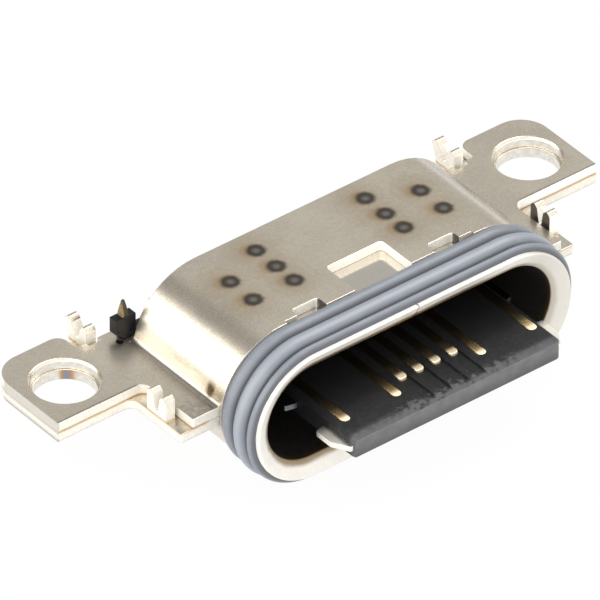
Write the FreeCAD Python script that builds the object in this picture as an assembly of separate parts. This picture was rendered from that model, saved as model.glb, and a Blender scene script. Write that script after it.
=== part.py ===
import FreeCAD, Part
import math
import os

V = FreeCAD.Vector

# Screw-eared 16-contact usb-c socket for a handset, all lengths in millimetres.
# Frame: X across the mouth, +Y from the mouth into the device, +Z to the board side.
# The origin lies on the port axis, in the plane of the shell rim.

# Contacts
PITCH = 0.50              # contact pitch
GND_X = 2.75              # outer contacts of each row
BUS_X = 1.25              # second contacts of each row
BLADE_W = 0.25            # width of a contact on the tongue
BLADE_T = 0.12            # thickness of a contact
PROUD = 0.015             # height of a contact over the tongue
LONG_FRONT = 0.94         # front end of the long contacts, before the rim
SHORT_FRONT = 0.50        # front end of the short contacts, before the rim
NOSE_DIP = 0.07           # how far the front end of a contact dips into the plastic
NOSE_LONG = 0.16          # length of the dipped front end
TAIL_W = 0.18             # width of a solder tail
TAIL_REACH = 0.65         # solder tails behind the insulator
GND_PAD = 3.225           # middle of the two outer tails
BUS_PAD = 2.375           # middle of the two second tails
PAIR = 0.25               # distance of two tails on one pad
JOG_BEHIND = 0.40         # cross run of the power contacts behind the block's front
JOG_STEP = 0.26           # each pair of signal contacts crosses that much further back
RISER_INSIDE = 0.20       # riser of the tails, before the rear edge of the shell
GUTTER_W = 0.30           # width of the gutter before a short contact
GUTTER_D = 0.06           # depth of the gutter

# Tongue and insulator
TONGUE_T = 0.70           # tongue thickness
TONGUE_TIP = 1.55         # tongue tip in front of the rim plane
TONGUE_EDGE = 0.29        # plastic beside the outer contacts
TIP_BEVEL = 0.12          # bevel of the tip edges
TIP_CORNER = 0.14         # corner radius of the tip in plan
BLOCK_LONG = 1.55         # insulator block inside the shell, up to the shell's rear edge
STEP_LONG = 0.90          # length of the thick tongue root before the block
STEP_RISE = 0.20          # step from the tongue to its thick root
PLATE_T = 0.10            # shield plates on the thick root
PLATE_INSET = 0.15        # side edge of a shield plate inside the root's
CORE_CLEAR = 0.02         # clearance of the insulator in the shell
BACK_CLEAR = 0.04         # rear insulator block inside the opening of the sheets
BACK_TOP = 0.45           # top of the rear insulator block
BACK_LOW = 1.10           # depth of the rear insulator block below the axis
BACK_GAP = 0.02           # gap between the cover and the rear block
BACK_THICK = 0.37         # thickness of the rear block
LATCH_REACH = 0.305       # latch noses of the middle plate beside the tongue
LATCH_BACK = 0.50         # rear end of the latch nose, in front of the rim
LATCH_TAPER = 0.42        # length of the tapered front of the latch nose
LATCH_DEEP = 0.40         # depth of the latch recess
LATCH_END = 0.55          # rear end of the latch recess
LATCH_LEAD = 0.06         # latch nose beside the tongue at the plate's front edge
LATCH_SLOPE = 0.09        # slope of the two ends of the latch recess
PLATE_R = 0.05            # small corner radius of the middle plate
NOSE_R = 0.15             # corner radius of the latch nose
MID_T = 0.15              # thickness of the middle plate
MID_INSIDE = 0.08         # front edge of the middle plate behind the tongue tip
MID_INTO = 1.20           # middle plate inside the insulator block
MID_WIDE = 0.30           # full width of the middle plate inside the block

# Left rear peg of the insulator
PEG_REACH = 0.68          # arm of the peg beside the rear block
PEG_STEP = 0.12           # front side of the peg behind that of the block
PEG_GAP = 0.10            # inner end of the arm beside the rear block
PEG_RISE = 0.43           # top of the arm over the top of the block
SPIKE_FOOT = 0.05         # foot of the pointed tip below the top of the arm
PEG_T = 0.40              # height of the arm
POST_REACH = 0.38         # middle of the upright post beside the rear block
POST_W = 0.20             # width of the upright post
POST_LIFT = 0.02          # post above the cover sheet
SPIKE_LONG = 0.43         # pointed tip of the post over the arm

# Mouth and shell
PLUG_GAP = 0.93           # room for the plug above and below the tongue
MOUTH_GAP = 0.825         # room for the plug between latch nose and mouth end
SHELL_WALL = 0.25         # wall of the rolled inner shell
SHELL_LEN = 4.45          # rim plane to the rear edge of the shell
RIM_FLARE = 0.20          # how far the rim stands out over the shell
RIM_EDGE = 0.10           # thickness of the rim at its outer edge
RIM_DISH = 0.21           # depth of the flare inside the rim plane
RIM_NOSE = 0.04           # bevel on the outer edge of the rim
SEAM_X = 0.08             # offset of the butt seam from the middle
SEAM_GAP = 0.03           # width of the butt seam

# Sealing ring
SEAL_GAP = 0.02           # gap between the ring and the cover
RIB_FOOT = 0.06           # grooves between the ribs, over the rim
RIB_SIDE_H = 0.11         # height of the front and rear rib
RIB_MID_H = 0.15          # height of the middle rib
GROOVE_A = 0.34           # first groove behind the rim
GROOVE_B = 0.85           # second groove behind the rim
FLANK = 0.06              # length of a rib's sloping flank
CROWN = 0.02              # rise of a rib's round crown over its flanks

# Outer sheets
SHEET = 0.27              # thickness of the cover and of the bracket
COVER_FRONT = 1.30        # front edge of the cover and of the bracket
COVER_OVER = 0.11         # rear edge of the folded part behind the shell
BEND_R = 0.16             # inside radius where wall and flange meet
U_NOTCH_HALF = 0.74       # half width of the locating notch in the cover
U_NOTCH_DEEP = 1.10       # length of the locating notch
SIDE_NOTCH_IN = 1.60      # inner side of the two small notches
SIDE_NOTCH_W = 0.78       # width of the two small notches
SIDE_NOTCH_DEEP = 0.33    # depth of the two small notches
LIP_DEEP = 0.09           # set-back of the front edge beside each small notch
LIP_LONG = 0.36           # length of that set-back

# Ears and flanges, given for the +X side
COVER_LEDGE = 0.75        # flange of the cover beside its wall
BRACKET_LEDGE = 1.10      # flange of the bracket beside its wall
FLANGE_STEP = 0.06        # front end of the flanges behind that of the wall
HOLE_REACH = 2.15         # screw hole beside the wall
HOLE_Y = 4.32             # screw hole behind the rim plane
HOLE_TOP_D = 1.60         # hole in the cover sheet
HOLE_LOW_D = 1.50         # hole in the bracket sheet
HOLE_EDGE = 0.06          # bevelled edge of the upper hole
EAR_OUTSIDE = 1.11        # outer edge of the ear beside the hole
EAR_AHEAD = 1.17          # front edge of the ear before the hole
EAR_BEHIND = 1.44         # rear edge of the ear behind the hole
EAR_INSIDE = 0.96         # inner edge of the ear beside the hole, behind the neck
EAR_R = 0.75              # rear outer corner radius
EAR_IN_R = 0.30           # rear inner corner radius
NECK_BEHIND = 0.83        # rear edge of the neck behind the hole
NECK_R = 0.08             # radius where the neck meets the ear
FLANGE_R = 0.05           # corner radius of a flange
ROOT_R = 0.25             # radius where the ear meets the flange
PILOT_REACH = 0.26        # small pilot hole beside the wall, left side only
PILOT_AHEAD = 0.45        # pilot hole before the rear edge of the neck
PILOT_D = 0.17            # diameter of the pilot hole

# Forked solder legs
LEG_GAP = 0.03            # clearance between a leg and the cover sheet
FRONT_LEG_BACK = 0.91     # middle of the front leg behind the flange's front end
FRONT_LEG_TOP = 0.64      # tip height of the front leg
FRONT_PITCH = 0.46        # distance of its two prongs
FRONT_PRONG_W = 0.25      # width of one prong
REAR_LEG_REACH = 0.74     # middle plane of the rear leg beside the wall
REAR_LEG_BACK = 0.35      # middle of the rear leg's root behind the neck
REAR_LEG_TOP = 0.60       # tip height of the rear leg
REAR_PITCH = 0.58         # distance of its two prong tips
REAR_ROOT_W = 0.70        # width of the rear leg at its root
REAR_PRONG_W = 0.27       # width of one prong tip
REAR_LEAN = 0.07          # backward lean of the prong tips
CROTCH_W = 0.07           # width of the slot's floor between two prongs
CROTCH_RISE = 0.06        # slot's floor over the root of the prongs
PRONG_ROOT = 0.10         # height where the prongs begin to part

# Sizes that follow
TONGUE_TOP = TONGUE_T / 2.0
TONGUE_HALF = GND_X + TONGUE_EDGE
LATCH_HALF = TONGUE_HALF + LATCH_REACH
MOUTH_W = 2.0 * (LATCH_HALF + MOUTH_GAP)
MOUTH_H = TONGUE_T + 2.0 * PLUG_GAP
MOUTH_R = MOUTH_H / 2.0
END_X = (MOUTH_W - MOUTH_H) / 2.0
SHELL_R = MOUTH_R + SHELL_WALL
RIM_R = SHELL_R + RIM_FLARE
RIM_BACK = RIM_EDGE + RIM_DISH * RIM_FLARE / (RIM_R - MOUTH_R)
COVER_R = SHELL_R + SHEET
WALL_X = END_X + COVER_R
COVER_BACK = SHELL_LEN + COVER_OVER
BACK_START = COVER_BACK + BACK_GAP
BACK_END = BACK_START + BACK_THICK
BACK_HALF = END_X + SHELL_R - BACK_CLEAR
PEG_FRONT = BACK_START + PEG_STEP
PEG_TOP = BACK_TOP + PEG_RISE
POST_X = BACK_HALF + POST_REACH
ROOT_FRONT = SHELL_LEN - BLOCK_LONG
STEP_FRONT = ROOT_FRONT - STEP_LONG
STEP_HALF_T = TONGUE_TOP + STEP_RISE
RISER_Y = SHELL_LEN - RISER_INSIDE
TAIL_END = BACK_END + TAIL_REACH
JOG_FRONT = ROOT_FRONT + JOG_BEHIND
RIB_LOW = RIM_R + RIB_FOOT
SEAL_BACK = COVER_FRONT - SEAL_GAP
HOLE_X = WALL_X + HOLE_REACH
EAR_OUT = HOLE_X + EAR_OUTSIDE
EAR_FRONT = HOLE_Y - EAR_AHEAD
EAR_BACK = HOLE_Y + EAR_BEHIND
EAR_ROOT_X = HOLE_X - EAR_INSIDE
NECK_BACK = HOLE_Y + NECK_BEHIND
FLANGE_FRONT = COVER_FRONT + FLANGE_STEP
COVER_FLANGE = WALL_X + COVER_LEDGE
BRACKET_FLANGE = WALL_X + BRACKET_LEDGE
FRONT_LEG_Y = FLANGE_FRONT + FRONT_LEG_BACK
REAR_LEG_X = WALL_X + REAR_LEG_REACH
REAR_LEG_Y = NECK_BACK + REAR_LEG_BACK
FAR = 30.0


def box(x0, x1, y0, y1, z0, z1):
    """Box between two corners."""
    return Part.makeBox(x1 - x0, y1 - y0, z1 - z0, V(x0, y0, z0))


def fuse(shapes):
    """One solid from several that touch."""
    body = shapes[0]
    for other in shapes[1:]:
        body = body.fuse(other)
    return body.removeSplitter()


def mirrored(shape):
    """The same piece on the other side of the middle plane."""
    return shape.mirror(V(0, 0, 0), V(1, 0, 0))


def slot_prism(radius, y0, y1):
    """Prism along Y with the rounded outline of the port."""
    a = V(-END_X, y0, radius)
    b = V(END_X, y0, radius)
    c = V(END_X + radius, y0, 0)
    d = V(END_X, y0, -radius)
    e = V(-END_X, y0, -radius)
    f = V(-END_X - radius, y0, 0)
    right = Part.Arc(b, c, d).toShape()
    left = Part.Arc(e, f, a).toShape()
    top = Part.makeLine(a, b)
    low = Part.makeLine(d, e)
    face = Part.Face(Part.Wire([top, right, low, left]))
    return face.extrude(V(0, y1 - y0, 0))


def port_ring(section):
    """Ring round the port from a face drawn over the middle of the port."""
    over_left = section.copy()
    over_left.translate(V(-END_X, 0, 0))
    over_right = section.copy()
    over_right.translate(V(END_X, 0, 0))
    top = over_left.extrude(V(2 * END_X, 0, 0))
    right = over_right.revolve(V(END_X, 0, 0), V(0, 1, 0), 180)
    low = top.mirror(V(0, 0, 0), V(0, 0, 1))
    left = right.mirror(V(0, 0, 0), V(1, 0, 0))
    return fuse([top, right, low, left])


def lines(points):
    """Straight edges in the YZ plane through (y, z) points."""
    spots = [V(0, y, z) for y, z in points]
    return [Part.makeLine(a, b) for a, b in zip(spots, spots[1:])]


def section_face(edges):
    """Face from edges in order."""
    return Part.Face(Part.Wire(edges))


def rounded_plan(points, z0, z1):
    """Prism along Z from (x, y, radius) corners, the corners rounded."""
    edges = []
    count = len(points)
    starts = []
    ends = []
    middles = []
    for i in range(count):
        x, y, r = points[i]
        here = V(x, y, z0)
        before = V(points[i - 1][0], points[i - 1][1], z0)
        after = V(points[(i + 1) % count][0], points[(i + 1) % count][1], z0)
        u = (before - here).normalize()
        w = (after - here).normalize()
        half = math.acos(max(-1.0, min(1.0, u.dot(w)))) / 2.0
        if r <= 0:
            starts.append(here)
            ends.append(here)
            middles.append(None)
            continue
        run = r / math.tan(half)
        centre = here + (u + w).normalize() * (r / math.sin(half))
        starts.append(here + u * run)
        ends.append(here + w * run)
        middles.append(centre + (here - centre).normalize() * r)
    for i in range(count):
        if middles[i] is not None:
            edges.append(Part.Arc(starts[i], middles[i], ends[i]).toShape())
        nxt = (i + 1) % count
        if (starts[nxt] - ends[i]).Length > 1e-6:
            edges.append(Part.makeLine(ends[i], starts[nxt]))
    return Part.Face(Part.Wire(edges)).extrude(V(0, 0, z1 - z0))


def inner_shell():
    """Rolled tube with a flared rim and a butt seam on the board side."""
    points = [
        (RIM_DISH, MOUTH_R),
        (0.0, RIM_R - RIM_NOSE),
        (RIM_NOSE, RIM_R),
        (RIM_EDGE, RIM_R),
        (RIM_BACK, SHELL_R),
        (SHELL_LEN, SHELL_R),
        (SHELL_LEN, MOUTH_R),
        (RIM_DISH, MOUTH_R),
    ]
    ring = port_ring(section_face(lines(points)))
    half = SEAM_GAP / 2
    return ring.cut(box(SEAM_X - half, SEAM_X + half, -FAR, FAR, 0, FAR))


def rib(y0, y1, height):
    """Edges of one rib of the sealing ring: flank, round crown, flank."""
    shoulder = RIB_LOW + height - CROWN
    a = V(0, y0 + FLANK, shoulder)
    b = V(0, (y0 + y1) / 2, RIB_LOW + height)
    c = V(0, y1 - FLANK, shoulder)
    first = Part.makeLine(V(0, y0, RIB_LOW), a)
    last = Part.makeLine(c, V(0, y1, RIB_LOW))
    return [first, Part.Arc(a, b, c).toShape(), last]


def seal_ring():
    """Silicone ring with three ribs between the rim and the cover."""
    edges = lines([(RIM_BACK, SHELL_R), (RIM_EDGE, RIM_R), (RIM_EDGE, RIB_LOW)])
    edges += rib(RIM_EDGE, GROOVE_A, RIB_SIDE_H)
    edges += rib(GROOVE_A, GROOVE_B, RIB_MID_H)
    edges += rib(GROOVE_B, SEAL_BACK, RIB_SIDE_H)
    edges += lines([(SEAL_BACK, RIB_LOW), (SEAL_BACK, SHELL_R), (RIM_BACK, SHELL_R)])
    return port_ring(section_face(edges))


def ear_plan(flange_out, z0, z1):
    """Plan of flange, neck and ear on the +X side."""
    inside = END_X + MOUTH_R / 2
    points = [
        (inside, FLANGE_FRONT, 0),
        (flange_out, FLANGE_FRONT, FLANGE_R),
        (flange_out, EAR_FRONT, ROOT_R),
        (EAR_OUT, EAR_FRONT, 0),
        (EAR_OUT, EAR_BACK, EAR_R),
        (EAR_ROOT_X, EAR_BACK, EAR_IN_R),
        (EAR_ROOT_X, NECK_BACK, NECK_R),
        (inside, NECK_BACK, 0),
    ]
    return rounded_plan(points, z0, z1)


def wrap(y0, y1, sign):
    """Half of a sheet bent round the shell, on one side of the ear plane."""
    ring = slot_prism(COVER_R, y0, y1).cut(slot_prism(SHELL_R, y0, y1))
    z0 = 0 if sign > 0 else -FAR
    return ring.common(box(-FAR, FAR, -FAR, FAR, z0, z0 + FAR))


def bend_edges(body, sign):
    """Edges where the folded wall meets a flange."""
    found = []
    wall = END_X + math.sqrt(COVER_R ** 2 - SHEET ** 2)
    for edge in body.Edges:
        limits = edge.BoundBox
        low = abs(limits.ZMin - sign * SHEET) < 1e-4
        flat = low and limits.ZLength < 1e-4
        side = abs(abs(limits.Center.x) - wall) < 1e-3 and limits.XLength < 1e-3
        if flat and side and limits.YLength > SHEET:
            found.append(edge)
    return found


def sheet_body(flange_out, sign):
    """Folded sheet with flanges and ears, bent round one half of the shell."""
    z0 = 0.0 if sign > 0 else -SHEET
    flange = ear_plan(flange_out, z0, z0 + SHEET)
    body = fuse([wrap(COVER_FRONT, COVER_BACK, sign), flange, mirrored(flange)])
    body = body.cut(slot_prism(SHELL_R, 0, NECK_BACK + SHEET))
    return body.makeFillet(BEND_R, bend_edges(body, sign))


def screw_hole(body, diameter):
    """Both screw holes through a sheet."""
    for side in (-1, 1):
        start = V(side * HOLE_X, HOLE_Y, -SHEET)
        body = body.cut(Part.makeCylinder(diameter / 2.0, 2 * SHEET, start, V(0, 0, 1)))
    return body


def bevel_holes(body):
    """Bevelled upper edge of the two screw holes."""
    edges = []
    for edge in body.Edges:
        circle = hasattr(edge.Curve, "Radius") and abs(edge.Curve.Radius - HOLE_TOP_D / 2) < 1e-6
        limits = edge.BoundBox
        if circle and abs(limits.ZMin - SHEET) < 1e-5 and limits.ZLength < 1e-5:
            edges.append(edge)
    return body.makeChamfer(HOLE_EDGE, edges)


def front_notches():
    """Cutters for the notches in the front edge of the cover."""
    low = SHELL_R / 2
    cutters = [box(-U_NOTCH_HALF, U_NOTCH_HALF, 0, COVER_FRONT + U_NOTCH_DEEP, low, FAR)]
    outer = SIDE_NOTCH_IN + SIDE_NOTCH_W
    notch = box(SIDE_NOTCH_IN, outer, 0, COVER_FRONT + SIDE_NOTCH_DEEP, low, FAR)
    lip = box(outer, outer + LIP_LONG, 0, COVER_FRONT + LIP_DEEP, low, FAR)
    for cutter in (notch, lip):
        cutters += [cutter, mirrored(cutter)]
    return cutters


def cover_sheet():
    """Upper sheet: cover over the shell, notches in its front edge, two ears."""
    body = sheet_body(COVER_FLANGE, 1)
    pilot_spot = V(-WALL_X - PILOT_REACH, NECK_BACK - PILOT_AHEAD, -SHEET)
    pilot = Part.makeCylinder(PILOT_D / 2, 3 * SHEET, pilot_spot, V(0, 0, 1))
    leg_side = REAR_LEG_X - SHEET / 2 - LEG_GAP
    far_side = REAR_LEG_X + SHEET / 2 + LEG_GAP
    leg_room = box(leg_side, far_side, NECK_BACK - SHEET / 2, FAR, -SHEET, 2 * SHEET)
    for cutter in front_notches() + [pilot, leg_room, mirrored(leg_room)]:
        body = body.cut(cutter)
    return bevel_holes(screw_hole(body, HOLE_TOP_D))


def prong(y_mid, width, top, floor_y, floor_z, foot_y):
    """Points of one prong from the slot floor over its tip to the outer foot."""
    half = width / 2
    bevel = width * 0.35
    outward = 1 if foot_y > floor_y else -1
    return [
        (floor_y, floor_z),
        (y_mid - outward * half, top - bevel),
        (y_mid - outward * (half - bevel), top),
        (y_mid + outward * (half - bevel), top),
        (y_mid + outward * half, top - bevel),
        (foot_y, PRONG_ROOT),
    ]


def leg(x0, y_mid, root_w, pitch, prong_w, top, lean):
    """Forked leg in a YZ plane, its two prongs pointing to the board side."""
    floor_z = PRONG_ROOT + CROTCH_RISE
    front_tip = y_mid + lean - pitch / 2
    back_tip = y_mid + lean + pitch / 2
    front = y_mid - root_w / 2
    back = y_mid + root_w / 2
    floor = CROTCH_W / 2
    front_points = prong(front_tip, prong_w, top, y_mid + lean / 3 - floor, floor_z, front)
    back_points = prong(back_tip, prong_w, top, y_mid + lean / 3 + floor, floor_z, back)
    points = [(front, -SHEET)] + front_points[::-1] + back_points + [(back, -SHEET)]
    face = section_face(lines(points + [points[0]]))
    face.translate(V(x0, 0, 0))
    return face.extrude(V(SHEET, 0, 0))


def lower_bracket():
    """Lower sheet: plain pan under the shell, two ears and four forked legs."""
    body = sheet_body(BRACKET_FLANGE, -1)
    front = leg(BRACKET_FLANGE - SHEET, FRONT_LEG_Y, FRONT_PITCH + FRONT_PRONG_W,
                FRONT_PITCH, FRONT_PRONG_W, FRONT_LEG_TOP, 0.0)
    rear_x = REAR_LEG_X - SHEET / 2
    rear = leg(rear_x, REAR_LEG_Y, REAR_ROOT_W, REAR_PITCH, REAR_PRONG_W, REAR_LEG_TOP, REAR_LEAN)
    foot_back = REAR_LEG_Y + REAR_ROOT_W / 4
    foot = box(rear_x, EAR_ROOT_X + EAR_IN_R, NECK_BACK, foot_back, -SHEET, 0)
    legs = [front, rear, foot]
    body = fuse([body] + legs + [mirrored(piece) for piece in legs])
    return screw_hole(body, HOLE_LOW_D)


def tongue_slab():
    """Tongue with bevelled tip edges."""
    points = [
        (-TONGUE_HALF, -TONGUE_TIP, TIP_CORNER),
        (TONGUE_HALF, -TONGUE_TIP, TIP_CORNER),
        (TONGUE_HALF, STEP_FRONT + STEP_RISE, 0),
        (-TONGUE_HALF, STEP_FRONT + STEP_RISE, 0),
    ]
    slab = rounded_plan(points, -TONGUE_TOP, TONGUE_TOP)
    edges = []
    for edge in slab.Edges:
        limits = edge.BoundBox
        rim = abs(abs(limits.ZMin) - TONGUE_TOP) < 1e-6 and limits.ZLength < 1e-6
        if rim and limits.YMax < -TONGUE_TIP + TIP_CORNER + 1e-4:
            edges.append(edge)
    return slab.makeChamfer(TIP_BEVEL, edges)


def spike():
    """Pointed tip of the peg."""
    mid_y = (PEG_FRONT + BACK_END) / 2
    bottom = PEG_TOP - SPIKE_FOOT
    levels = []
    for share, z in ((1.0, bottom), (0.9, PEG_TOP + SPIKE_LONG / 4), (0.3, PEG_TOP + SPIKE_LONG)):
        a = share * POST_W / 2
        corners = [(-a, -a), (a, -a), (a, a), (-a, a), (-a, -a)]
        levels.append(Part.makePolygon([V(x - POST_X, y + mid_y, z) for x, y in corners]))
    return Part.makeLoft(levels, True, True)


def peg():
    """Left rear peg with its pointed tip."""
    inside = -BACK_HALF + BACK_THICK / 4
    out = -BACK_HALF - PEG_REACH
    foot = SHEET + POST_LIFT
    arm = box(out, -BACK_HALF - PEG_GAP, PEG_FRONT, BACK_END, PEG_TOP - PEG_T, PEG_TOP)
    post = box(-POST_X - POST_W / 2, -POST_X + POST_W / 2, PEG_FRONT, BACK_END, foot, PEG_TOP)
    web = box(-POST_X, inside, PEG_FRONT, BACK_END, foot, BACK_TOP)
    return arm.fuse(post).fuse(web).fuse(spike())


def gutters():
    """Cutters for the gutters from the tongue tip to the short contacts."""
    half = GUTTER_W / 2
    back = GUTTER_W / 3 - SHORT_FRONT
    floor = TONGUE_TOP - GUTTER_D
    found = []
    for x in signal_positions():
        found.append(box(x - half, x + half, -FAR, back, floor, FAR))
        found.append(box(x - half, x + half, -FAR, back, -FAR, -floor))
    return found


def insulator(inserts):
    """Black housing with tongue, block in the shell and rear block."""
    overlap = BACK_THICK / 4
    body = fuse([
        tongue_slab(),
        box(-LATCH_HALF, LATCH_HALF, STEP_FRONT, ROOT_FRONT + overlap, -STEP_HALF_T, STEP_HALF_T),
        slot_prism(MOUTH_R - CORE_CLEAR, ROOT_FRONT, BACK_START + overlap),
        box(-BACK_HALF, BACK_HALF, BACK_START, BACK_END, -BACK_LOW, BACK_TOP),
        peg(),
    ])
    for cutter in gutters() + inserts:
        body = body.cut(cutter)
    return body


def mid_plate():
    """Steel plate in the middle of the tongue, its latch noses bare at the sides."""
    recess = LATCH_HALF - LATCH_DEEP
    front = -TONGUE_TIP + MID_INSIDE
    half = [
        (recess, front, 0),
        (TONGUE_HALF + LATCH_LEAD, front, PLATE_R),
        (LATCH_HALF, front + LATCH_TAPER, NOSE_R),
        (LATCH_HALF, -LATCH_BACK, PLATE_R),
        (recess, -LATCH_BACK + LATCH_SLOPE, PLATE_R),
        (recess, LATCH_END, PLATE_R),
        (LATCH_HALF, LATCH_END + LATCH_SLOPE, PLATE_R),
        (LATCH_HALF, ROOT_FRONT + MID_WIDE, 0),
        (recess, ROOT_FRONT + MID_INTO, 0),
    ]
    other = [(-x, y, r) for x, y, r in reversed(half)]
    return rounded_plan(half + other, -MID_T / 2, MID_T / 2)


def shield_plate(side):
    """Thin ground plate on the thick tongue root."""
    z0 = STEP_HALF_T if side > 0 else -STEP_HALF_T - PLATE_T
    half = LATCH_HALF - PLATE_INSET
    points = [
        (-half, STEP_FRONT, PLATE_INSET),
        (half, STEP_FRONT, PLATE_INSET),
        (half, ROOT_FRONT, 0),
        (-half, ROOT_FRONT, 0),
    ]
    return rounded_plan(points, z0, z0 + PLATE_T)


def signal_positions():
    """Middle contacts of one row, from left to right."""
    return [(i - 1.5) * PITCH for i in range(4)]


def signal_rank(x):
    """0 for a signal contact next to the middle, 1 for the next one."""
    return round(abs(x) / PITCH - 0.5)


def signal_tail(side, x):
    """Tail position of a signal contact, the two rows alternating."""
    step = 0.5 if side > 0 else 1.5
    return math.copysign((2 * signal_rank(x) + step) * PITCH, x)


def power_tail(side, x):
    """Tail position of a power contact beside its partner of the other row."""
    outer = abs(x) > BUS_X
    pad = GND_PAD if outer else BUS_PAD
    reach = PAIR / 2 if outer else -PAIR / 2
    return math.copysign(pad + reach * side, x)


def blade(x, front, back):
    """Contact bar on the upper tongue face, its front end rounded and dipped."""
    top = TONGUE_TOP + PROUD
    half = BLADE_W / 2
    corner = 0.84 * half
    points = [
        (x - half, -front, corner),
        (x + half, -front, corner),
        (x + half, back, 0),
        (x - half, back, 0),
    ]
    bar = rounded_plan(points, top - BLADE_T, top)
    nose = [
        (-front - NOSE_LONG, top + BLADE_T),
        (-front - NOSE_LONG, top - NOSE_DIP),
        (-front, top - NOSE_DIP),
        (-front + NOSE_LONG, top),
        (-front + NOSE_LONG, top + BLADE_T),
        (-front - NOSE_LONG, top + BLADE_T),
    ]
    wedge = section_face(lines(nose))
    wedge.translate(V(x - BLADE_W, 0, 0))
    return bar.cut(wedge.extrude(V(2 * BLADE_W, 0, 0)))


def contact(side, x, x_tail, front, jog):
    """Contact of the upper (side 1) or lower (side -1) row with its solder tail."""
    top = TONGUE_TOP + PROUD
    low = top - BLADE_T
    left = min(x, x_tail)
    right = max(x, x_tail)
    half = TAIL_W / 2
    run_end = RISER_Y + BLADE_T
    bar = fuse([
        blade(x, front, jog + half),
        box(left - half, right + half, jog, jog + TAIL_W, low, top),
        box(x_tail - half, x_tail + half, jog, run_end, low, top),
    ])
    tail = box(x_tail - half, x_tail + half, RISER_Y, TAIL_END, SHEET - BLADE_T, SHEET)
    if side < 0:
        bar = bar.mirror(V(0, 0, 0), V(0, 0, 1))
        riser = box(x_tail - half, x_tail + half, RISER_Y, run_end, -top, SHEET)
    else:
        riser = box(x_tail - half, x_tail + half, RISER_Y, run_end, SHEET - BLADE_T, top)
    return fuse([bar, riser, tail])


def contact_rows():
    """All sixteen contacts, the upper row as a and the lower row as b."""
    made = {}
    upper = ["a1", "a4", "a5", "a6", "a7", "a8", "a9", "a12"]
    lower = ["b12", "b9", "b8", "b7", "b6", "b5", "b4", "b1"]
    places = [-GND_X, -BUS_X] + signal_positions() + [BUS_X, GND_X]
    for side, names in ((1, upper), (-1, lower)):
        for name, x in zip(names, places):
            power = abs(x) >= BUS_X
            tail = power_tail(side, x) if power else signal_tail(side, x)
            front = LONG_FRONT if power else SHORT_FRONT
            jog = JOG_FRONT if power else JOG_FRONT + JOG_STEP * (2 - signal_rank(x))
            made["contact_" + name] = contact(side, x, tail, front, jog)
    return made


def main():
    """Builds every piece and writes one file for each."""
    os.makedirs("parts", exist_ok=True)
    contacts = contact_rows()
    plate = mid_plate()
    pieces = {
        "cover_sheet": cover_sheet(),
        "inner_shell": inner_shell(),
        "insulator": insulator([plate] + list(contacts.values())),
        "lower_bracket": lower_bracket(),
        "mid_plate": plate,
        "seal_ring": seal_ring(),
        "shield_plate_upper": shield_plate(1),
        "shield_plate_lower": shield_plate(-1),
    }
    pieces.update(contacts)
    for name, shape in pieces.items():
        print(name, shape.ShapeType, len(shape.Solids), round(shape.Volume, 4), shape.isValid())
        shape.Solids[0].exportStep("parts/" + name + ".step")


main()
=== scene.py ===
import math

import bmesh
import bpy
from mathutils import Matrix, Vector


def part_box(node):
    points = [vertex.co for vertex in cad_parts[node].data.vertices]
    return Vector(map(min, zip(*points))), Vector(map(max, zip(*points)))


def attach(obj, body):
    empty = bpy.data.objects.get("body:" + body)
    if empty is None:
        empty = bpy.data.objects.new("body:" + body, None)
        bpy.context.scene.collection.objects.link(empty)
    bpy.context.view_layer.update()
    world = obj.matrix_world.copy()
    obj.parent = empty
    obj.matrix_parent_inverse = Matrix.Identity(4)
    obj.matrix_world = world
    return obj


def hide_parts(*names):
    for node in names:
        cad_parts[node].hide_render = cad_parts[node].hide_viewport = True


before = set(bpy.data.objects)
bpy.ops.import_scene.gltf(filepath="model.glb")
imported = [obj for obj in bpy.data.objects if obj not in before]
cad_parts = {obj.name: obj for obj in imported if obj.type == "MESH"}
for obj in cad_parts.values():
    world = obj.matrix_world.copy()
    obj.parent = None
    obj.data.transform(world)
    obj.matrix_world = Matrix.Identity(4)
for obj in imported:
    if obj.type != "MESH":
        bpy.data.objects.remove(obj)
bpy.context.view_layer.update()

bl_info = {
    "name": "Usb-c socket with screw ears",
    "version": (1, 0, 0),
    "blender": (4, 5, 0),
    "location": "View3D > Sidebar > Socket",
    "description": "Finishes and fine shapes of a handset socket round its packed frame",
    "category": "Add Mesh",
}

MM = 0.001
BODY = "root"
CONTACT_NODES = sorted(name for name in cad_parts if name.startswith("contact_"))


def low(node, axis):
    """Lowest place of a node along an axis, in millimetres."""
    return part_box(node)[0][axis] / MM


def high(node, axis):
    """Highest place of a node along an axis, in millimetres."""
    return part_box(node)[1][axis] / MM


# Shell and sealing ring, as all sizes and places in millimetres from the middle of the mouth
SHEET = 0.27
SHELL_BACK = high("inner_shell", 1)
SHELL_R = high("cover_sheet", 2) - SHEET
MOUTH_R = 1.28
RIM_R = high("inner_shell", 2)
RIM_DEPTH = 0.24
END_X = high("inner_shell", 0) - RIM_R
SEAL_FRONT = 0.105
SEAL_LIP_R = 1.76
SEAL_BACK = high("seal_ring", 1)
SEAL_R = high("seal_ring", 2)
GROOVES = (0.34, 0.85)
FLOOR_Z = low("seal_ring", 2)

# Window of the cover, its weld spots as (x on both sides, y) and the (y, z) of its wall mark
COVER_FRONT = low("cover_sheet", 1)
WINDOW_BACK = COVER_FRONT + 1.4
WINDOW_X = 2.5
WELD_SPOTS = ((1.61, 3.89), (1.61, 3.14), (1.61, 2.47), (2.80, 3.33), (2.80, 2.48))
WALL_MARK = (1.76, 0.50)

# Flanges, right front leg, screw holes and ears
FLANGE_X = 4.95
RIGHT_LEG_X = (5.3, 5.6)
RIGHT_LEG_Y = (1.7, 2.8)
HOLE_X = 6.84
HOLE_Y = 4.32
BORE_REACH = 0.9
EAR_FRONT = HOLE_Y - 1.17

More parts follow.
